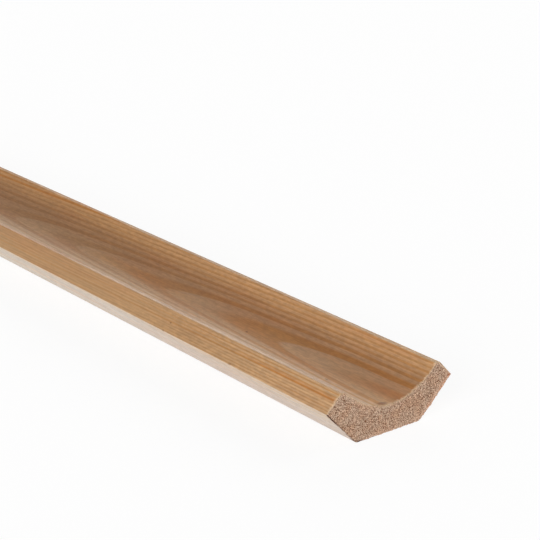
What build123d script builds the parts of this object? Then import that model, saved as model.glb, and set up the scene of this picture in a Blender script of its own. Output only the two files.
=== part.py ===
"""Cove moulding of solid pine: one length of stock with a single section throughout.

The section is a sprung cove. Its flat back and hollow front face each other, and two
seats at 45 degrees carry it against a wall and a ceiling. Each seat ends in a lip that
is planed square to it. Stored as it lies on a floor: flat back down, hollow up.

Axes: X across the section, Y along the stock, Z up from the flat back.
Origin: middle of the flat back, halfway along the stock. All sizes in millimetres.
"""

from build123d import *
import math
import os

os.makedirs("parts", exist_ok=True)

# Stock, as it is sold
stock_length = 2400.0
face_width = 43.0  # overall, across the two rounded tips
thickness = 15.0  # from the flat back to the front flats

# Seats and lips
seat_angle = 45.0  # each seat rises from the flat back at this angle
lip_width = 6.4  # from the tip of the seat to the front, square to the seat

# Hollow front
front_flat = 1.3  # narrow flat left between each lip and the hollow
cove_depth = 7.3  # from the front flats to the lowest line of the hollow

# Rounded edges
back_corner_radius = 2.0  # flat back to seat
tip_radius = 0.4  # seat to lip
front_arris_radius = 0.3  # both edges of each front flat

# Corners of the section, before they are rounded. Rounding takes a little off each
# tip, so its sharp corner stands that much outside the overall width.
seat_slope = math.radians(seat_angle)
taken_off_tip = tip_radius * (math.cos(seat_slope) + math.sin(seat_slope) - 1)
tip_x = face_width / 2 + taken_off_tip
tip_height = thickness - lip_width * math.cos(seat_slope)
back_corner_x = tip_x - tip_height / math.tan(seat_slope)
lip_top_x = tip_x - lip_width * math.sin(seat_slope)
cove_edge_x = lip_top_x - front_flat

with BuildPart() as cove_moulding:
    with BuildSketch(Plane.XZ) as section:
        with BuildLine():
            # Seat, lip and front flat of one side, and the same mirrored
            Polyline(
                (back_corner_x, 0),
                (tip_x, tip_height),
                (lip_top_x, thickness),
                (cove_edge_x, thickness),
            )
            mirror(about=Plane.YZ)
            # Flat back
            Line((-back_corner_x, 0), (back_corner_x, 0))
            # The hollow is one arc from rim to rim
            ThreePointArc(
                (-cove_edge_x, thickness),
                (0, thickness - cove_depth),
                (cove_edge_x, thickness),
            )
        make_face()

        # Each rounding is picked from the outline as the last one left it
        left_to_right = section.vertices().sort_by(Axis.X)
        fillet([left_to_right[0], left_to_right[-1]], radius=tip_radius)
        fillet(section.vertices().group_by(Axis.Y)[0], radius=back_corner_radius)
        fillet(section.vertices().group_by(Axis.Y)[-1], radius=front_arris_radius)
    # The ends are sawn square, and stay sharp
    extrude(amount=stock_length / 2, both=True)

cove_moulding.part.label = "cove_moulding"
export_step(cove_moulding.part, "parts/cove_moulding.step")
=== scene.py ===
import math

import bpy
import numpy as np
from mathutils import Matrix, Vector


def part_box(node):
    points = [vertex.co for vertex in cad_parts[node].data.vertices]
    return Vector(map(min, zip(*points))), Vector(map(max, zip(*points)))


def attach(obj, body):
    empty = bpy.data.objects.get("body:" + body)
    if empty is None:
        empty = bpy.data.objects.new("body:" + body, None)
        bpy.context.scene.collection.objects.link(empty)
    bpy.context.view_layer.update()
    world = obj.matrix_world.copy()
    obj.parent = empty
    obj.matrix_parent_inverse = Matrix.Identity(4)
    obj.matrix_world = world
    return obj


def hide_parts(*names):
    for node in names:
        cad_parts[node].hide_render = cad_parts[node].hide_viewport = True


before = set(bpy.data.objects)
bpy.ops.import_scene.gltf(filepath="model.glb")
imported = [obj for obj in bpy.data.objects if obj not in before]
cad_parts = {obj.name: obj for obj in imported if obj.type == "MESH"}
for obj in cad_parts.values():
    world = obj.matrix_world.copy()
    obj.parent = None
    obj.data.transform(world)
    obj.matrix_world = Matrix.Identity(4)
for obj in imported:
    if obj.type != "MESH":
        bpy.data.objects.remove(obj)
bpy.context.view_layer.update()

# The cove moulding: one length of planed pine with a sprung cove section. It lies on its
# flat back, hollow front up. Both ends are rough saw cuts, torn and pitted, and the saw
# has left a ragged edge where it came out along the back and the seats.

half_width, half_length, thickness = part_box("cove_moulding")[1]  # its back lies at Z = 0

lip_width = 0.0064  # square to the seats, which lie at 45 degrees
tip_radius = 0.0002
front_flat = 0.0013  # between each lip and the hollow
cove_depth = 0.0073
back_corner_radius = 0.002
front_arris_radius = 0.0003

diagonal = math.sqrt(0.5)  # sine and cosine of the seats' 45 degrees
tip_x = half_width + tip_radius * (2 * diagonal - 1)
tip_z = thickness - lip_width * diagonal
cove_edge = tip_x - lip_width * diagonal - front_flat
cove_radius = (cove_edge**2 + cove_depth**2) / (2 * cove_depth)
cove_centre_z = thickness - cove_depth + cove_radius


def blunt_minimum(a, b, radius):
    """The lower of two heights, with the corner between them rounded: min(a, b) less a
    parabola that is highest where a and b meet. Where they meet at 45 degrees, it takes
    off as much of the corner as an arc of this radius does."""
    reach = 0.36 * radius
    overlap = np.clip(1 - np.abs(a - b) / reach, 0, None)
    return np.minimum(a, b) - overlap**2 * reach / 4


def section_heights(x):
    """Heights of the back and of the front of the section at x across it. The front is the
    lowest of the lip's plane, the front flat and the hollow's arc, and the back is the
    higher of the floor and the seat's plane. Each tip is closed by a small circle."""
    across = np.abs(x)
    lip = tip_z + (tip_x - across)
    hollow = cove_centre_z - np.sqrt(np.maximum(cove_radius**2 - across**2, 0))
    front = blunt_minimum(np.full_like(across, thickness), lip, front_arris_radius)
    eased = blunt_minimum(front, hollow, front_arris_radius)
    front = np.where(across < cove_radius * 0.95, eased, front)
    seat = tip_z - (tip_x - across)
    back = -blunt_minimum(np.zeros_like(across), -seat, back_corner_radius)
    circle_x = half_width - tip_radius
    circle = np.sqrt(np.maximum(tip_radius**2 - np.maximum(across - circle_x, 0) ** 2, 0))
    in_tip = across > tip_x - diagonal * tip_radius
    return np.where(in_tip, tip_z - circle, back), np.where(in_tip, tip_z + circle, front)


def spread_across():
    """Places across the section: even steps, drawn closer round every edge of it, and
    round each tip at even turns of its circle."""
    edges = np.array([tip_x - lip_width * diagonal, cove_edge, tip_x - tip_z])
    reach = np.array([0.00015, 0.00015, 0.0009])
    even = np.linspace(0, half_width, 150)
    near = [edge + spread * np.linspace(-1, 1, 9) for edge, spread in zip(edges, reach)]
    round_tip = half_width - tip_radius * (1 - np.sin(np.linspace(math.pi / 4, math.pi / 2, 7)))
    side = np.unique(np.round(np.concatenate([even, round_tip] + near), 6))
    side = side[(side >= 0) & (side <= half_width)]
    side[-1] = half_width
    return np.concatenate([-side[:0:-1], side])


def lattice_noise(x, z, cell, seed):
    """Smooth random values from -1 to 1 with bumps about one cell wide: a table of random
    numbers on a square lattice, read between its points along a smooth step."""
    table = np.random.default_rng(seed).uniform(-1, 1, (512, 512))
    u, v = x / cell + 200, z / cell + 200
    i, j = np.floor(u).astype(int), np.floor(v).astype(int)
    s, t = u - i, v - j
    s, t = s * s * (3 - 2 * s), t * t * (3 - 2 * t)
    near = table[i % 512, j % 512] * (1 - s) + table[(i + 1) % 512, j % 512] * s
    far = table[i % 512, (j + 1) % 512] * (1 - s) + table[(i + 1) % 512, (j + 1) % 512] * s
    return near * (1 - t) + far * t


saw_depth = 0.0003  # from the longest torn fibre to the deepest pit
clump_width = 0.00034
tuft_width = 0.0002
chip_depth = 0.0004  # how far the ragged arris is broken out of the back and the seats
scallop_width = 0.0009
nick_width = 0.00035
strand_width = 0.0006  # of the fibres that stand proud, and of the burr's tufts
worn_corner_x = -0.0105
burr_height = 0.0004
rows_through = 84  # rows of points through the thickness of a sawn end


def sawn_relief(x, z, from_front, seed):
    """Depth of the torn end below the longest fibre: clumps of fibres with finer tufts on
    them, gentler within a millimetre of the front, where the saw went in."""
    clumps = lattice_noise(x, z, clump_width, seed)
    tufts = lattice_noise(x, z, tuft_width, seed + 1)
    rough = 0.5 + 0.34 * clumps + 0.3 * tufts
    return saw_depth * np.clip(rough, 0, 1) * np.clip(0.35 + 0.65 * from_front / 0.0012, 0, 1)


def broken_arris(x, back, seed):
    """How far the back's outline is lifted at a sawn end: scallops where fibres broke out,
    with small nicks between them. On the seats torn fibres stand proud, more of them on the
    right, where the saw came out, and the left back corner is worn off."""
    scallops = np.clip(lattice_noise(x, 0 * x, scallop_width, seed) - 0.1, 0, 1)
    nicks = np.clip(lattice_noise(x, 0 * x, nick_width, seed + 1) - 0.2, 0, 1)
    proud = 0.35 + np.clip(lattice_noise(x, 0 * x, strand_width, seed + 2), 0, 1)
    from_tip = half_width - np.abs(x)
    on_seat = np.clip((back - 0.0008) / 0.001, 0, 1) * np.clip(from_tip / 0.001, 0, 1)
    worn_corner = np.clip(1 - np.abs(x - worn_corner_x) / 0.0025, 0, 1)
    chipped = np.where(x > 0, 0.2, 0.7) * scallops + 0.4 * nicks + 0.6 * worn_corner
    frayed = np.where(x > 0, 1.4, 0.3) * proud
    return chip_depth * np.clip(from_tip / 0.0006, 0, 1) * (chipped - frayed * on_seat)


def saw_burr(x, seed):
    """How far the front stands up at a sawn end, over the left half of the hollow, where the
    saw pushed the fibres up into a ragged burr. It fades out towards both its ends."""
    rising = np.clip((-0.002 - x) / 0.004, 0, 1)
    falling = np.clip((x + cove_edge) / 0.002, 0, 1)
    tufts = 0.8 + 0.3 * lattice_noise(x, 0 * x, strand_width, seed)
    return burr_height * tufts * rising * falling


def bake_map(stations, ring_x, ring_z, points, on_ends):
    """The mesh's map for baking, corner by corner. The two halves of the sides are unrolled
    in a band each, the stock's length along U and the way round the section along V. Above
    them lie the two ends side by side, the far one mirrored, U along X and V along Z."""
    steps = np.hypot(np.roll(ring_x, -1) - ring_x, np.roll(ring_z, -1) - ring_z)
    way_round = np.concatenate([[0.0], np.cumsum(steps)]) / steps.sum()
    far_half = (stations[:-1] >= 0).astype(float)
    begins = np.where(far_half, 0.0, -half_length)
    side_map = np.empty((len(stations) - 1, len(ring_x), 4, 2))
    side_map[:, :, [0, 3], 0] = ((stations[:-1] - begins) / half_length)[:, None, None]
    side_map[:, :, [1, 2], 0] = ((stations[1:] - begins) / half_length)[:, None, None]
    side_map[:, :, :2, 1] = way_round[None, :-1, None]
    side_map[:, :, 2:, 1] = way_round[None, 1:, None]
    margin, band_size, band_pitch = 0.005, (0.99, 0.43), 0.44
    side_map = side_map * band_size + margin
    side_map[..., 1] += band_pitch * far_half[:, None, None]
    ends_corner, end_size, end_pitch = (0.01, 0.89), (0.48, 0.1), 0.5
    end_maps = []
    for faces, number in zip(on_ends, (0, 1, 0, 1)):
        at = points[faces.ravel()]
        mirrored = -1 if number == 1 else 1
        u, v = (mirrored * at[:, 0] / half_width + 1) / 2, at[:, 2] / thickness
        end_map = np.stack([u, v], -1) * end_size + ends_corner
        end_map[:, 0] += end_pitch * number
        end_maps.append(end_map)
    return np.concatenate([side_map.reshape(-1, 2)] + end_maps)


def moulding_mesh():
    """The whole stock as one closed surface. Its sides are the section's outline carried
    along Y, and each end is a grid between the back and the front of the section, pushed
    in by the depth of the torn fibres."""
    x = spread_across()
    back, front = section_heights(x)
    columns = len(x)
    ring_x = np.concatenate([x, x[-2:0:-1]])
    ring_z = np.concatenate([back, front[-2:0:-1]])
    around = len(ring_x)

    # Stations along Y, drawn closer towards both ends, with one halfway
    near = np.array([0, 0.0003, 0.0008, 0.002, 0.005, 0.012, 0.03, 0.07])
    stations = np.concatenate([near, np.linspace(0.14, half_length, 10)]) - half_length
    stations = np.concatenate([stations, -stations[-2::-1]])
    along = len(stations)

    sides = np.empty((along, around, 3))
    sides[:, :, 0], sides[:, :, 1], sides[:, :, 2] = ring_x, stations[:, None], ring_z

    # The ends, each with its outline broken and raised, and its inner points pushed in
    share = np.linspace(0, 1, rows_through)[1:-1]
    inner_x = np.repeat(x[1:-1], len(share)).reshape(columns - 2, -1)
    caps, depths_in = [], []
    for end, towards, seed in ((0, 1, 11), (-1, -1, 31)):
        lifted = back + broken_arris(x, back, seed + 5)
        lifted[[0, -1]] = back[[0, -1]]
        raised = front + saw_burr(x, seed + 9)
        sides[end, :columns, 2] = lifted
        sides[end, columns:, 2] = raised[-2:0:-1]
        inner_z = lifted[1:-1, None] + (raised - lifted)[1:-1, None] * share
        from_front = raised[1:-1, None] - inner_z
        cap = np.empty(inner_z.shape + (3,))
        cap[..., 0], cap[..., 2] = inner_x, inner_z
        cap[..., 1] = stations[end] + towards * sawn_relief(inner_x, inner_z, from_front, seed)
        on_back = np.arange(around) < columns
        rim = np.where(on_back, 0.0012, 0.0)
        sides[end, :, 1] += towards * sawn_relief(ring_x, sides[end, :, 2], rim, seed)
        caps.append(cap.reshape(-1, 3))
        depths_in.append(from_front.ravel())

    # Depth of every point of the ends below the front, for the crushed rim's colour
    points = np.concatenate([sides.reshape(-1, 3)] + caps)
    from_rim = np.concatenate([np.zeros(along * around)] + depths_in)
    for first in (0, (along - 1) * around):
        from_rim[first : first + columns] = front - back

    i, j = np.meshgrid(np.arange(along - 1), np.arange(around), indexing="ij")
    k = (j + 1) % around
    here, beyond = i * around, (i + 1) * around
    side_quads = np.stack([here + j, beyond + j, beyond + k, here + k], -1).reshape(-1, 4)

    end_faces, corner_faces = [], []
    for number, first in enumerate((0, (along - 1) * around)):
        grid = np.empty((columns, rows_through), int)
        grid[:, 0] = first + np.arange(columns)
        grid[1:-1, -1] = first + np.arange(around - 1, columns - 1, -1)
        grid[0, :], grid[-1, :] = first, first + columns - 1
        start = along * around + number * (columns - 2) * len(share)
        inner = np.arange((columns - 2) * len(share)).reshape(columns - 2, -1)
        grid[1:-1, 1:-1] = start + inner
        a, b, c, d = grid[:-1, :-1], grid[1:, :-1], grid[1:, 1:], grid[:-1, 1:]
        cells = np.stack([a, b, c, d], -1)
        left = np.stack([a[0], b[0], c[0]], -1)
        right = np.stack([a[-1], b[-1], d[-1]], -1)
        whole, corners = cells[1:-1].reshape(-1, 4), np.concatenate([left, right])
        if number == 1:
            whole, corners = whole[:, ::-1], corners[:, ::-1]
        end_faces.append(whole)
        corner_faces.append(corners)

    unrolled = bake_map(stations, ring_x, ring_z, points, end_faces + corner_faces)
    mesh = bpy.data.meshes.new("cove_moulding_stock")
    faces = [part.tolist() for part in (side_quads, *end_faces, *corner_faces)]
    faces = [face for part in faces for face in part]
    mesh.from_pydata(points.tolist(), [], faces)
    mesh.uv_layers.new(name="OFBake").uv.foreach_set("vector", unrolled.ravel())
    sawn = np.arange(len(faces)) >= len(side_quads)
    mesh.polygons.foreach_set("material_index", sawn.astype(np.int32))
    mesh.polygons.foreach_set("use_smooth", np.ones(len(faces), bool))
    mesh.attributes.new("from_rim", "FLOAT", "POINT").data.foreach_set("value", from_rim)
    # The sawn edges are sharp, and all else is shaded smoothly
    ends_of = np.empty(2 * len(mesh.edges), np.int32)
    mesh.edges.foreach_get("vertices", ends_of)
    low, high = np.sort(ends_of.reshape(-1, 2), axis=1).T
    last = (along - 1) * around
    on_arris = (high < around) | ((low >= last) & (high < last + around))
    mesh.edges.foreach_set("use_edge_sharp", on_arris)
    mesh.validate()
    mesh.update()
    return mesh


moulding = bpy.data.objects.new("planed_moulding", moulding_mesh())
bpy.context.collection.objects.link(moulding)
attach(moulding, "root")
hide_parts("cove_moulding")


def add(tree, kind, inputs=None, **settings):
    """A shader node with its settings, and its inputs given as values or as outputs to link."""
    made = tree.nodes.new(kind)
    for name, value in settings.items():
        setattr(made, name, value)
    for name, value in (inputs or {}).items():
        if isinstance(value, bpy.types.NodeSocket):
            tree.links.new(value, made.inputs[name])
        else:
            made.inputs[name].default_value = value
    return made


def maths(tree, operation, a, b=0.0, c=0.0):
    """One step of arithmetic on values or outputs."""
    return add(tree, "ShaderNodeMath", {0: a, 1: b, 2: c}, operation=operation).outputs[0]


def vector_maths(tree, operation, inputs):
    """The same on vectors, with the inputs that the operation asks for."""
    return add(tree, "ShaderNodeVectorMath", inputs, operation=operation).outputs[0]


def ramp(tree, value, low, high, start=0.0, end=1.0):
    """value carried from low..high to start..end along a smooth step."""
    made = add(
        tree,
        "ShaderNodeMapRange",
        {"Value": value, "From Min": low, "From Max": high, "To Min": start, "To Max": end},
        interpolation_type="SMOOTHSTEP",
    )
    return made.outputs["Result"]


def mix(tree, share, a, b, blend="MIX"):
    """Colour a turning into b, or into a times b with MULTIPLY, as share goes from 0 to 1."""
    made = tree.nodes.new("ShaderNodeMix")
    made.data_type, made.blend_type = "RGBA", blend
    for socket, value in ((made.inputs[0], share), (made.inputs[6], a), (made.inputs[7], b)):
        if isinstance(value, bpy.types.NodeSocket):
            tree.links.new(value, socket)
        elif isinstance(value, float):
            socket.default_value = value
        else:
            socket.default_value = (*value, 1.0)
    return made.outputs[2]


def noise(tree, vector, scale, detail=2.0, roughness=0.5):
    """Noise on a vector that is first stretched by scale along each axis, in cells a metre."""
    stretched = add(tree, "ShaderNodeMapping", {"Vector": vector, "Scale": scale}).outputs[0]
    inputs = {"Vector": stretched, "Scale": 1.0, "Detail": detail, "Roughness": roughness}
    return add(tree, "ShaderNodeTexNoise", inputs)


# Growth rings run round the tree's heart, which lay above the hollow front and curved
# slowly towards the stock and away again. So the lips and the upper walls of the hollow
# show close parallel lines, and its bottom shows long tongues.
heart_at_near_end = (-0.0095, 0.08741)  # X and Z
heart_moves = (0.73, -0.683)  # the way that it curves, in X and Z
heart_swing = 0.00436  # half the way that it moves to and fro
heart_wave = 1.6  # length of one wave of its curve
heart_wave_start = 0.258  # how far into the wave the near end lies
ring_width = 0.0006
first_ring = 0.07235  # from the heart to the first ring that the near end's lip shows
ring_widths_shown = (0.60, 0.62, 0.70, 0.73, 0.61, 0.59, 0.65, 0.63, 0.61, 0.49, 0.58, 0.66)
ring_seed = 205979.0
crest_line = 0.0034  # X of a line along which every ring bulges outwards a little
crest_height = 0.00002
level_stretch = 0.028  # the rings run level this far from the near end
lip_bulge = 0.00016  # outwards, for every ring where it shows on the left lip
wall_bulge = 0.00014  # outwards too, on the right wall from 80 mm on
hollow_sag = 0.00018  # inwards, left of the hollow's lowest line
tongue_sag = 0.0001  # inwards too, along the hollow's bottom past the near end


def pine_growth():
    """Rings as shells round the heart: the distance of a place from the heart's line, put
    right by what is known of each ring, gives the year as its whole part and the season as
    the rest. Gives the latewood's strength, the heartwood, each year's own strength, and the
    fibres."""
    group = bpy.data.node_groups.new("pine_growth", "ShaderNodeTree")
    group.interface.new_socket("Vector", in_out="INPUT", socket_type="NodeSocketVector")
    for name in ("Latewood", "Heartwood", "Strength", "Fibres"):
        group.interface.new_socket(name, in_out="OUTPUT", socket_type="NodeSocketFloat")
    place = group.nodes.new("NodeGroupInput").outputs["Vector"]
    out = group.nodes.new("NodeGroupOutput")

    # The wood's slow waviness, which starts past the first hand's breadth of the near end
    parts = add(group, "ShaderNodeSeparateXYZ", {"Vector": place}).outputs
    from_near_end = maths(group, "ADD", parts["Y"], half_length)
    wander = noise(group, place, (45.0, 14.0, 45.0), 1.0).outputs["Color"]
    wander = vector_maths(group, "SUBTRACT", {0: wander, 1: (0.5, 0.5, 0.5)})
    reach = ramp(group, from_near_end, 0.05, 0.3, 0.0002, 0.0011)
    wander = vector_maths(group, "SCALE", {0: wander, "Scale": reach})
    moved = vector_maths(group, "ADD", {0: wander, 1: place})

    # Distance from the heart: a cosine along Y carries the heart to and fro
    turn = 2 * math.pi / heart_wave
    start = heart_wave_start * turn
    phase = maths(group, "COSINE", maths(group, "MULTIPLY_ADD", from_near_end, turn, start))
    swing = maths(group, "MULTIPLY_ADD", phase, -heart_swing, heart_swing * math.cos(start))
    heart_x = maths(group, "MULTIPLY_ADD", swing, heart_moves[0], heart_at_near_end[0])
    heart_z = maths(group, "MULTIPLY_ADD", swing, heart_moves[1], heart_at_near_end[1])
    moved_parts = add(group, "ShaderNodeSeparateXYZ", {"Vector": moved}).outputs
    abreast = {"X": heart_x, "Y": moved_parts["Y"], "Z": heart_z}
    heart = add(group, "ShaderNodeCombineXYZ", abreast).outputs[0]
    apart = add(group, "ShaderNodeVectorMath", {0: moved, 1: heart}, operation="DISTANCE")
    distance = apart.outputs["Value"]
    from_crest = maths(group, "ABSOLUTE", maths(group, "SUBTRACT", parts["X"], crest_line))
    crest = ramp(group, from_crest, 0.0, 0.0035, crest_height, 0.0)
    level = ramp(group, from_near_end, 0.0, level_stretch, -0.00021, 0.0)
    level = maths(group, "MULTIPLY_ADD", level, ramp(group, parts["X"], -0.017, -0.010), crest)
    on_lip = ramp(group, parts["X"], -0.017, -0.013, lip_bulge, 0.0)
    on_wall = maths(
        group,
        "MULTIPLY_ADD",
        ramp(group, parts["X"], 0.004, 0.011),
        ramp(group, from_near_end, 0.01, 0.08, 0.0, wall_bulge),
        on_lip,
    )
    on_left = maths(
        group,
        "MULTIPLY",
        ramp(group, parts["X"], -0.0025, 0.0015, 1.0, 0.0),
        ramp(group, parts["X"], -0.015, -0.009),
    )
    sag = ramp(group, from_near_end, 0.003, 0.03, 0.0, -hollow_sag)
    local = maths(group, "MULTIPLY_ADD", on_left, sag, maths(group, "ADD", level, on_wall))
    on_bottom = maths(
        group,
        "MULTIPLY",
        ramp(group, parts["X"], 0.003, 0.009, 1.0, 0.0),
        ramp(group, parts["X"], -0.012, -0.006),
    )
    sag = ramp(group, from_near_end, 0.012, 0.045, 0.0, -tongue_sag)
    local = maths(group, "MULTIPLY_ADD", on_bottom, sag, local)
    distance = maths(group, "ADD", distance, local)

    # Count of rings: an even count, put right by a curve where the ring widths are known
    edges = first_ring + np.concatenate([[0.0], np.cumsum(ring_widths_shown)]) * 0.001
    span = edges[-1] - edges[0] + 0.004
    low = edges[0] - 0.002
    late_by = np.arange(len(edges)) - (edges - first_ring) / ring_width
    curve = group.nodes.new("ShaderNodeFloatCurve")
    points = curve.mapping.curves[0].points
    points[0].location, points[1].location = (0.0, 0.5), (1.0, 0.5 + late_by[-1] / 4)
    for edge, late in zip(edges, late_by):
        points.new((edge - low) / span, 0.5 + late / 4)
    for point in points:
        point.handle_type = "VECTOR"
    curve.mapping.update()
    share = add(
        group, "ShaderNodeMapRange", {"Value": distance, "From Min": low, "From Max": low + span}
    ).outputs[0]
    group.links.new(share, curve.inputs["Value"])
    even = maths(group, "MULTIPLY_ADD", distance, 1 / ring_width, -first_ring / ring_width - 2.0)
    counted = maths(group, "MULTIPLY_ADD", curve.outputs[0], 4.0, even)

    year = maths(group, "FLOOR", counted)
    season = maths(group, "FRACT", counted)
    seeded = maths(group, "ADD", year, ring_seed)
    random = add(group, "ShaderNodeTexWhiteNoise", {"W": seeded}, noise_dimensions="1D")
    strength = random.outputs[0]
    turns_late = maths(group, "MULTIPLY_ADD", strength, -0.12, 0.42)
    rising = add(
        group,
        "ShaderNodeMapRange",
        {"Value": season, "From Min": turns_late, "From Max": maths(group, "ADD", turns_late, 0.3)},
        interpolation_type="SMOOTHSTEP",
    ).outputs["Result"]
    falling = ramp(group, season, 0.93, 1.0, 1.0, 0.0)
    latewood = maths(group, "MULTIPLY", rising, falling)

    # Heartwood: the upper part of the stock, and more of it towards the right seat
    right_of_middle = maths(group, "MAXIMUM", moved_parts["X"], 0.0)
    height = maths(group, "MULTIPLY_ADD", right_of_middle, 0.25, moved_parts["Z"])
    heartwood = ramp(group, height, 0.0080, 0.0092)

    fibres = noise(group, place, (2600.0, 60.0, 2600.0), 3.0, 0.6).outputs[0]
    for name, value in (
        ("Latewood", latewood),
        ("Heartwood", heartwood),
        ("Strength", strength),
        ("Fibres", fibres),
    ):
        group.links.new(value, out.inputs[name])
    return group


growth = pine_growth()


def seat_distance(tree, parts):
    """Distance from the plane of the nearer seat, from the X and Z of a place."""
    across = maths(tree, "ABSOLUTE", parts["X"])
    level = maths(tree, "MULTIPLY_ADD", across, diagonal, (tip_z - tip_x) * diagonal)
    return maths(tree, "ABSOLUTE", maths(tree, "MULTIPLY_ADD", parts["Z"], -diagonal, level))


# Colours of the wood between its dark lines. Where two are given, the wood turns from the
# first to the second: up the seat, from left to right, or up the hollow's right wall.
# Painted light: the seats' colours are paler and pinker than their wood, standing in for the sheen
# that a grazing view of them shows, and the seat is darker towards the back to make up for light
# bounced off the floor
seat_sap_and_sheen = (0.66, 0.575, 0.54), (0.71, 0.615, 0.555)
# Partly painted sheen: the hollow's sapwood turns paler and pinker towards its left side, partly
# paler sapwood and partly standing in for the sheen seen there
hollow_sap_and_sheen = (0.73, 0.50, 0.32), (0.50, 0.28, 0.125)
# Partly painted shade: the hollow's heartwood is darkest low on its right wall and paler at the
# wall's top, standing in for the shade down the hollow, partly its darker, narrower rings
hollow_heart_and_shade = (0.44, 0.25, 0.122), (0.372, 0.198, 0.093)
upper_wall_heart = (0.50, 0.28, 0.130)
lip_heart = (0.478, 0.28, 0.138)
seat_heart_and_sheen = (0.72, 0.58, 0.45)
# Painted light: the hollow's left wall is paler still, standing in for the light and sheen that it
# catches from the right and behind
left_wall_painted_light = (0.82, 0.60, 0.42)

# Tints that the wood is multiplied by. Of the dark lines, the first is for a weak year and
# the second for a strong one, and each is given for sapwood and for heartwood.
weak_lines = (0.88, 0.80, 0.72), (0.85, 0.79, 0.68)
strong_lines = (0.88, 0.68, 0.36), (0.88, 0.66, 0.31)
rosy_tint = (0.98, 0.90, 0.84)
# Painted light: these four tints stand in for light falling off along the stock
falloff_tint = (0.91, 0.91, 0.87)  # reached 0.2 m from the near end
low_seat_falloff_tint = (1.01, 1.07, 1.05)
hollow_falloff_tint = (0.765, 0.715, 0.595)
lip_falloff_tints = (1.07, 1.11, 1.16), (0.95, 0.93, 0.87)  # at the near end, and past it
untinted = (1.0, 1.0, 1.0)

# Streaks of another tint, the last a painted sheen: X, distance from the near end, Z, and reach
# along each axis, all in millimetres, and the tint
streaks_and_painted_sheen = (
    ((4.0, 0.0, 8.0), (2.2, 17.0, 3.0), (0.96, 0.82, 0.66)),
    ((3.5, 114.0, 8.0), (2.8, 32.0, 3.0), (1.05, 0.94, 0.70)),
    ((-18.6, 0.0, 13.4), (1.0, 50.0, 1.0), (0.97, 0.82, 0.65)),
    # Painted highlight: a whitish sheen on the right front flat near the near end
    ((16.4, 0.0, 15.0), (1.1, 55.0, 0.9), (1.10, 1.26, 1.40)),
)
# Marks near the near end, given like the streaks, and how dark each one is
marks = (
    ((-1.6, 1.4, 7.7), (2.0, 1.2, 1.0), 0.75),
    ((-3.1, 20.6, 7.9), (0.35, 0.8, 0.5), 0.8),
    ((1.1, 58.4, 7.7), (0.45, 0.7, 0.5), 0.9),
    ((-19.4, 66.2, 12.5), (0.3, 0.5, 0.4), 0.7),
    ((-21.3, 38.0, 10.6), (0.4, 0.9, 0.5), 0.4),
    ((-21.3, 67.0, 10.4), (0.4, 0.7, 0.6), 0.45),
    ((-17.6, 3.2, 6.5), (0.9, 0.5, 0.9), 0.3),
    ((-16.4, 6.0, 5.3), (0.9, 0.6, 0.9), 0.3),
)
marked_tint = (0.36, 0.25, 0.18)
crushed_front = (0.72, 0.53, 0.36)
# Partly painted shade: the dark of the torn rim also stands in for the shade in the chipped edge
torn_and_shaded_behind = (0.13, 0.045, 0.02)
knife_step = 0.0046  # between the ripples that the planer's knives left across the seats
satin_roughness = (0.42, 0.58)  # of the lips and seats, and of the duller hollow


def spot(tree, place, centre, reach):
    """A small mark: 1 within an ellipsoid round centre, fading to 0 at its edge. Both are in
    millimetres, and the centre's Y is counted from the near end."""
    x, along, z = (value * 0.001 for value in centre)
    located = {
        "Vector": place,
        "Location": (x, along - half_length, z),
        "Scale": [value * 0.001 for value in reach],
    }
    turned = add(tree, "ShaderNodeMapping", located, vector_type="TEXTURE").outputs[0]
    away = add(tree, "ShaderNodeVectorMath", {0: turned}, operation="LENGTH").outputs["Value"]
    return ramp(tree, away, 0.4, 1.0, 1.0, 0.0)


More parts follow.
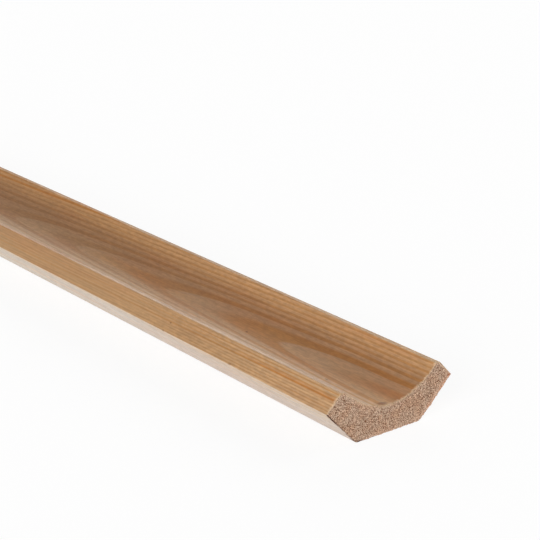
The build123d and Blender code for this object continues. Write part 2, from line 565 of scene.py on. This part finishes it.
def planed_pine():
    """Planed faces: golden heartwood with orange latewood lines, paler pinkish sapwood. The
    wood's colour is multiplied by the tint of the dark lines, and then by those of patches,
    streaks and marks, and by a painted falloff of light along the stock."""
    material = bpy.data.materials.new("planed_pine")
    material.use_nodes = True
    tree = material.node_tree
    shader = tree.nodes["Principled BSDF"]
    place = tree.nodes.new("ShaderNodeTexCoord").outputs["Object"]
    grain = add(tree, "ShaderNodeGroup", node_tree=growth)
    tree.links.new(place, grain.inputs["Vector"])
    heart = grain.outputs["Heartwood"]

    # Where on the moulding a place lies
    parts = add(tree, "ShaderNodeSeparateXYZ", {"Vector": place}).outputs
    across = maths(tree, "ABSOLUTE", parts["X"])
    from_near_end = maths(tree, "ADD", parts["Y"], half_length)
    from_end = maths(tree, "SUBTRACT", half_length, maths(tree, "ABSOLUTE", parts["Y"]))
    hollow = maths(
        tree,
        "MULTIPLY",
        ramp(tree, across, cove_edge - 0.0002, cove_edge + 0.0001, 1.0, 0.0),
        ramp(tree, parts["Z"], 0.006, 0.007),
    )
    left_wall = maths(tree, "MULTIPLY", hollow, ramp(tree, parts["X"], -0.008, -0.004, 1.0, 0.0))
    on_seat = ramp(tree, seat_distance(tree, parts), 0.00002, 0.0002, 1.0, 0.0)
    low_on_seat = ramp(tree, parts["Z"], 0.0045, 0.0075, 1.0, 0.0)
    off_left_lip = maths(tree, "MAXIMUM", on_seat, ramp(tree, parts["X"], -0.0171, -0.0168))

    # The wood between the dark lines
    # Painted light: the seats are pale and pink for their sheen, and darker towards the back to
    # offset the floor's bounce
    sap = mix(tree, ramp(tree, parts["Z"], 0.001, 0.0055), *seat_sap_and_sheen)
    # Partly painted sheen: paler towards the hollow's left side
    rosy_sap_and_sheen = mix(tree, ramp(tree, parts["X"], -0.0075, 0.0015), *hollow_sap_and_sheen)
    sap = mix(tree, hollow, sap, rosy_sap_and_sheen)
    # Partly painted shade: darker low down the hollow's right wall
    tawny_and_shade = mix(tree, ramp(tree, parts["Z"], 0.0080, 0.0095), *hollow_heart_and_shade)
    tawny_and_shade = mix(tree, ramp(tree, parts["Z"], 0.0105, 0.0140), tawny_and_shade, upper_wall_heart)
    golden = mix(tree, hollow, lip_heart, tawny_and_shade)
    # Painted sheen: the heartwood on the seats is paler
    golden = mix(tree, on_seat, golden, seat_heart_and_sheen)
    early = mix(tree, heart, sap, golden)
    # Painted light on the hollow's left wall
    early = mix(tree, left_wall, early, left_wall_painted_light)

    # The dark lines, which grow fainter along the left lip's first hand's breadth
    faint = maths(
        tree,
        "MULTIPLY",
        ramp(tree, parts["X"], -0.0165, -0.0160, 0.5, 0.0),
        ramp(tree, from_near_end, 0.015, 0.09),
    )
    late = maths(tree, "MULTIPLY", grain.outputs["Latewood"], maths(tree, "SUBTRACT", 1.0, faint))
    weak, strong = mix(tree, heart, *weak_lines), mix(tree, heart, *strong_lines)
    lines = mix(tree, grain.outputs["Strength"], weak, strong)
    wood = mix(tree, late, early, lines, "MULTIPLY")

    # Rosy patches, and painted light: past the near end the wood's tone changes, darkest in the
    # hollow, as if the light fell off along the stock
    patches = noise(tree, place, (160.0, 22.0, 160.0), 2.0).outputs[0]
    wood = mix(tree, ramp(tree, patches, 0.45, 0.7), wood, rosy_tint, "MULTIPLY")
    falloff = mix(tree, low_on_seat, falloff_tint, low_seat_falloff_tint)
    falloff = mix(tree, hollow, falloff, hollow_falloff_tint)
    wood = mix(tree, ramp(tree, from_near_end, 0.0, 0.2), wood, falloff, "MULTIPLY")
    # Painted light: the lip is brighter and bluer at the near end, and darker past it
    lip_falloff = mix(tree, ramp(tree, from_near_end, 0.0, 0.065), *lip_falloff_tints)
    lip_falloff = mix(tree, off_left_lip, lip_falloff, untinted)
    wood = mix(tree, 1.0, wood, lip_falloff, "MULTIPLY")
    # The last of these streaks is a painted sheen
    for centre, reach, tint in streaks_and_painted_sheen:
        wood = mix(tree, spot(tree, place, centre, reach), wood, tint, "MULTIPLY")
    for centre, reach, dark in marks:
        shade = maths(tree, "MULTIPLY", spot(tree, place, centre, reach), dark)
        wood = mix(tree, shade, wood, marked_tint, "MULTIPLY")

    # Along the sawn edges the saw has crushed a pale rim into the front, and torn a dark one out
    # of the seats and the back, its darkness partly painted shade in the chipped edge
    blotches = noise(tree, place, (900.0, 400.0, 900.0), 2.0, 0.6).outputs[0]
    ragged = maths(tree, "MULTIPLY_ADD", blotches, -0.0024, from_end)
    behind = maths(tree, "MAXIMUM", on_seat, ramp(tree, parts["Z"], 0.0002, 0.0004, 1.0, 0.0))
    near_edge = maths(tree, "SUBTRACT", 1.0, ramp(tree, ragged, -0.0011, -0.0005))
    rim = maths(tree, "MULTIPLY", near_edge, ramp(tree, behind, 0.0, 1.0, 0.65, 0.8))
    wood = mix(tree, rim, wood, mix(tree, behind, crushed_front, torn_and_shaded_behind))

    # Fine streaks of the fibres, and a mottle that is calmer on the left lip past the near end
    mottle = noise(tree, place, (1300.0, 420.0, 1300.0), 2.0, 0.6).outputs[0]
    calm = maths(tree, "SUBTRACT", ramp(tree, from_near_end, 0.04, 0.12), off_left_lip)
    darkest = ramp(tree, calm, 0.0, 1.0, 0.88, 0.95)
    palest = ramp(tree, calm, 0.0, 1.0, 1.11, 1.04)
    streaks = maths(
        tree,
        "MULTIPLY",
        ramp(tree, grain.outputs["Fibres"], 0.3, 0.7, 0.90, 1.09),
        ramp(tree, mottle, 0.3, 0.7, darkest, palest),
    )
    toned = vector_maths(tree, "SCALE", {0: wood, "Scale": streaks})
    tree.links.new(toned, shader.inputs["Base Color"])

    # The lips and seats keep the planer's satin shine, and the hollow, all but its left wall,
    # and the front flats are duller
    left_flat = maths(
        tree,
        "ADD",
        ramp(tree, from_near_end, 0.04, 0.14, 0.05, 0.3),
        ramp(tree, parts["X"], -0.0166, -0.0157, 0.0, 0.4),
    )
    on_right = ramp(tree, parts["X"], -0.01, 0.01)
    either = {"Value": on_right, "To Min": left_flat, "To Max": 0.8}
    flats = maths(
        tree,
        "MULTIPLY",
        ramp(tree, parts["Z"], thickness - 0.0003, thickness),
        add(tree, "ShaderNodeMapRange", either).outputs["Result"],
    )
    rubbed = maths(tree, "MULTIPLY_ADD", left_wall, -0.6, hollow)
    dull = maths(tree, "MAXIMUM", rubbed, flats)
    shiny, rough = satin_roughness
    satin = {"Value": dull, "To Min": shiny, "To Max": rough}
    satin = add(tree, "ShaderNodeMapRange", satin).outputs["Result"]
    tree.links.new(maths(tree, "MULTIPLY_ADD", rim, 0.4, satin), shader.inputs["Roughness"])
    shader.inputs["Specular IOR Level"].default_value = 0.35

    # Raised latewood, fibres, and the knives' ripples on the seats
    relief = maths(tree, "MULTIPLY_ADD", late, 0.6, grain.outputs["Fibres"])
    turns = maths(tree, "MULTIPLY", from_near_end, 2 * math.pi / knife_step)
    ripples = maths(tree, "MULTIPLY", maths(tree, "SINE", turns), on_seat)
    relief = maths(tree, "MULTIPLY_ADD", ripples, 0.5, relief)
    bump = add(tree, "ShaderNodeBump", {"Height": relief, "Strength": 0.25, "Distance": 0.00008})
    tree.links.new(bump.outputs[0], shader.inputs["Normal"])
    return material


fresh_tufts = (0.90, 0.665, 0.49), (0.91, 0.61, 0.42)  # clean, and where the wood is stained
# Partly painted shade: the dark of the pits
pit_and_shade_brown = (0.16, 0.053, 0.015)
crushed_yellow = (0.70, 0.50, 0.29)
# Painted light, and rust: the pale stands in for the floor's bounce light, and the rusty colour is
# the wood's own
pale_bounce_and_rust = (0.86, 0.60, 0.45), (0.84, 0.38, 0.21)  # pale, and in the rusty patches
# Partly painted shade of the chipped arris along the left seat
torn_edge_shade_brown = (0.09, 0.03, 0.02)
bruise_red = (0.30, 0.08, 0.04)


def sawn_pine():
    """Sawn ends: dull torn fibres, dark in their pits and pale on their tufts. Each later
    colour covers the earlier ones as far as its own mask goes."""
    material = bpy.data.materials.new("sawn_pine")
    material.use_nodes = True
    tree = material.node_tree
    shader = tree.nodes["Principled BSDF"]
    place = tree.nodes.new("ShaderNodeTexCoord").outputs["Object"]
    parts = add(tree, "ShaderNodeSeparateXYZ", {"Vector": place}).outputs
    from_end = maths(tree, "SUBTRACT", half_length, maths(tree, "ABSOLUTE", parts["Y"]))
    from_seat = seat_distance(tree, parts)
    from_rim = add(tree, "ShaderNodeAttribute", attribute_name="from_rim").outputs["Fac"]

    # Pits and tufts, with painted shade: the end grows darker the deeper a place lies below its
    # longest fibre
    speckle = noise(tree, place, (3500.0, 1200.0, 4400.0), 2.0, 0.6).outputs[0]
    depth_shade = maths(tree, "MULTIPLY", ramp(tree, from_end, 0.0, saw_depth), 0.3)
    pits = maths(tree, "MULTIPLY_ADD", ramp(tree, speckle, 0.38, 0.62), 0.8, depth_shade)
    stains = ramp(tree, noise(tree, place, (260.0, 60.0, 260.0), 2.0, 0.6).outputs[0], 0.4, 0.65)
    wood = mix(tree, pits, mix(tree, stains, *fresh_tufts), pit_and_shade_brown)

    # Where the saw went in along the hollow and the lips, a thin crushed band is yellower
    blotches = noise(tree, place, (900.0, 400.0, 900.0), 2.0, 0.6).outputs[0]
    ragged = maths(tree, "MULTIPLY_ADD", blotches, 0.0022, from_rim)
    band = ramp(tree, ragged, 0.0010, 0.0018, 0.65, 0.0)
    crushed = maths(tree, "MULTIPLY", band, ramp(tree, speckle, 0.7, 0.4))
    wood = mix(tree, crushed, wood, crushed_yellow)

    # Painted light: the end is made paler along the back and the right seat, standing in for the
    # floor's bounce light, with rusty patches on the seat
    on_right = ramp(tree, parts["X"], 0.010, 0.013)
    from_edge = mix(tree, on_right, parts["Z"], from_seat)
    wavering = maths(tree, "MULTIPLY_ADD", blotches, 0.0030, from_edge)
    strongest = ramp(tree, on_right, 0.0, 1.0, 0.28, 0.5)
    painted_bounce = maths(
        tree,
        "MULTIPLY",
        ramp(tree, wavering, 0.0015, 0.0035, strongest, 0.0),
        ramp(tree, parts["X"], -0.0115, -0.0095),
    )
    rust = maths(tree, "MULTIPLY", ramp(tree, blotches, 0.4, 0.6), on_right)
    wood = mix(tree, painted_bounce, wood, mix(tree, rust, *pale_bounce_and_rust))

    # A dark torn edge runs down the left seat and round the back corner, its darkness partly
    # painted shade of the chipped arris, and the right tip is bruised
    torn_edge_darkness = maths(
        tree,
        "MAXIMUM",
        ramp(tree, parts["Z"], 0.0015, 0.0030, 0.85, 0.5),
        ramp(tree, parts["X"], -0.0185, -0.0155, 0.9, 0.5),
    )
    above_corner = ramp(tree, parts["Z"], 0.0002, 0.0009)
    inside = maths(tree, "MULTIPLY", ramp(tree, from_seat, 0.0001, 0.0004), above_corner)
    shaded_torn_edge = maths(
        tree,
        "MULTIPLY",
        ramp(tree, inside, 0.0, 1.0, torn_edge_darkness, 0.0),
        ramp(tree, parts["X"], -0.0100, -0.0085, 1.0, 0.0),
    )
    wood = mix(tree, shaded_torn_edge, wood, torn_edge_shade_brown)
    right_tip = (half_width * 1000 - 0.4, 0.0, tip_z * 1000)
    bruise = maths(tree, "MULTIPLY", spot(tree, place, right_tip, (0.8, 3.0, 0.6)), 0.5)
    wood = mix(tree, bruise, wood, bruise_red)

    tree.links.new(wood, shader.inputs["Base Color"])
    tree.links.new(ramp(tree, speckle, 0.3, 0.7, 0.75, 0.9), shader.inputs["Roughness"])
    shader.inputs["Specular IOR Level"].default_value = 0.2
    bump = add(tree, "ShaderNodeBump", {"Height": speckle, "Strength": 0.5, "Distance": 0.0002})
    tree.links.new(bump.outputs[0], shader.inputs["Normal"])
    return material


moulding.data.materials.append(planed_pine())
moulding.data.materials.append(sawn_pine())

# The floor: a plain pale sweep, which the camera sees as plain white but for the
# moulding's own soft shadow.
floor_reach = 12.0
floor_shade = (0.17, 0.17, 0.17, 1.0)  # how strongly the moulding's shadow shows on it
floor_glow = 0.865


def seen_directly(tree):
    """1 for what the camera sees, straight or in a reflection or through glass, else 0."""
    path = tree.nodes.new("ShaderNodeLightPath").outputs
    reflected = maths(tree, "MAXIMUM", path["Is Glossy Ray"], path["Is Transmission Ray"])
    return maths(tree, "MAXIMUM", path["Is Camera Ray"], reflected)


def pale_floor():
    """White paint, lit plainly. To the camera it glows white, dimmed only by its shadow."""
    material = bpy.data.materials.new("pale_floor")
    material.use_nodes = True
    tree = material.node_tree
    paint = tree.nodes["Principled BSDF"]
    paint.inputs["Base Color"].default_value = (0.9, 0.9, 0.9, 1.0)
    paint.inputs["Roughness"].default_value = 0.9
    shade = add(tree, "ShaderNodeBsdfDiffuse", {"Color": floor_shade})
    glow = add(tree, "ShaderNodeEmission", {"Color": (1.0, 1.0, 1.0, 1.0), "Strength": floor_glow})
    white = add(tree, "ShaderNodeAddShader", {0: shade.outputs[0], 1: glow.outputs[0]})
    either = add(
        tree,
        "ShaderNodeMixShader",
        {0: seen_directly(tree), 1: paint.outputs[0], 2: white.outputs[0]},
    )
    tree.links.new(either.outputs[0], tree.nodes["Material Output"].inputs["Surface"])
    return material


floor_mesh = bpy.data.meshes.new("pale_floor")
floor_corners = np.array([(-1, -1, 0), (1, -1, 0), (1, 1, 0), (-1, 1, 0)]) * floor_reach
floor_mesh.from_pydata(floor_corners.tolist(), [], [(0, 1, 2, 3)])
floor = bpy.data.objects.new("pale_floor", floor_mesh)
bpy.context.collection.objects.link(floor)
floor_mesh.materials.append(pale_floor())

# Soft studio light: a room with white walls and a dimmer ceiling, a broad low lamp to the
# left, and dim ones to the right and behind.
world = bpy.data.worlds.new("white_room")
bpy.context.scene.world = world
world.use_nodes = True
room = world.node_tree
background = room.nodes["Background"]
background.inputs["Color"].default_value = (1.0, 1.0, 1.0, 1.0)
direction = room.nodes.new("ShaderNodeTexCoord").outputs["Generated"]
upwards = add(room, "ShaderNodeSeparateXYZ", {"Vector": direction}).outputs["Z"]
walls = ramp(room, upwards, 0.1, 0.7, 0.85, 0.25)
seen = seen_directly(room)
room.links.new(maths(room, "MAXIMUM", walls, seen), background.inputs["Strength"])

lamp_width = 35.0  # degrees across, as the moulding sees it


def broad_lamp(name, bearing, elevation, strength):
    """A soft lamp so far off that it lights the whole length alike. Its bearing turns from
    +Y towards +X, and its elevation is above the floor, both in degrees."""
    data = bpy.data.lights.new(name, "SUN")
    data.angle, data.energy = math.radians(lamp_width), strength
    lamp = bpy.data.objects.new(name, data)
    bpy.context.collection.objects.link(lamp)
    bearing, elevation = math.radians(bearing), math.radians(elevation)
    lamp.rotation_euler = (math.pi / 2 - elevation, 0.0, math.pi - bearing)


broad_lamp("left_lamp", -112.0, 20.0, 1.93)
broad_lamp("right_lamp", 95.0, 35.0, 0.50)
broad_lamp("back_lamp", 45.0, 18.0, 0.64)

# The camera stands left of the near end and looks down along the stock. Its place, its
# angles and its lens were found from the photo's outline of the moulding.
photo_side = 540
focal_pixels = 1561.3
yaw, pitch, roll = (math.radians(angle) for angle in (-40.627, 19.607, -2.002))
camera_from_near_end = np.array([-0.25673, -0.25111, 0.16968])

level_right = np.array([math.cos(yaw), math.sin(yaw), 0.0])
level_ahead = np.array([-math.sin(yaw), math.cos(yaw), 0.0])
ahead = level_ahead * math.cos(pitch) + np.array([0.0, 0.0, -1.0]) * math.sin(pitch)
level_down = np.cross(ahead, level_right)
right = level_right * math.cos(roll) + level_down * math.sin(roll)
down = level_down * math.cos(roll) - level_right * math.sin(roll)

camera_data = bpy.data.cameras.new("photo_view")
camera_data.sensor_width = 36.0
camera_data.lens = camera_data.sensor_width * focal_pixels / photo_side
camera_data.clip_start = 0.01
camera = bpy.data.objects.new("photo_view", camera_data)
bpy.context.collection.objects.link(camera)
turn = np.eye(4)
turn[:3, 0], turn[:3, 1], turn[:3, 2] = right, -down, -ahead
turn[:3, 3] = camera_from_near_end + np.array([0.0, -half_length, 0.0])
camera.matrix_world = turn.T.tolist()
bpy.context.scene.camera = camera

bpy.context.scene.view_settings.view_transform = "Standard"
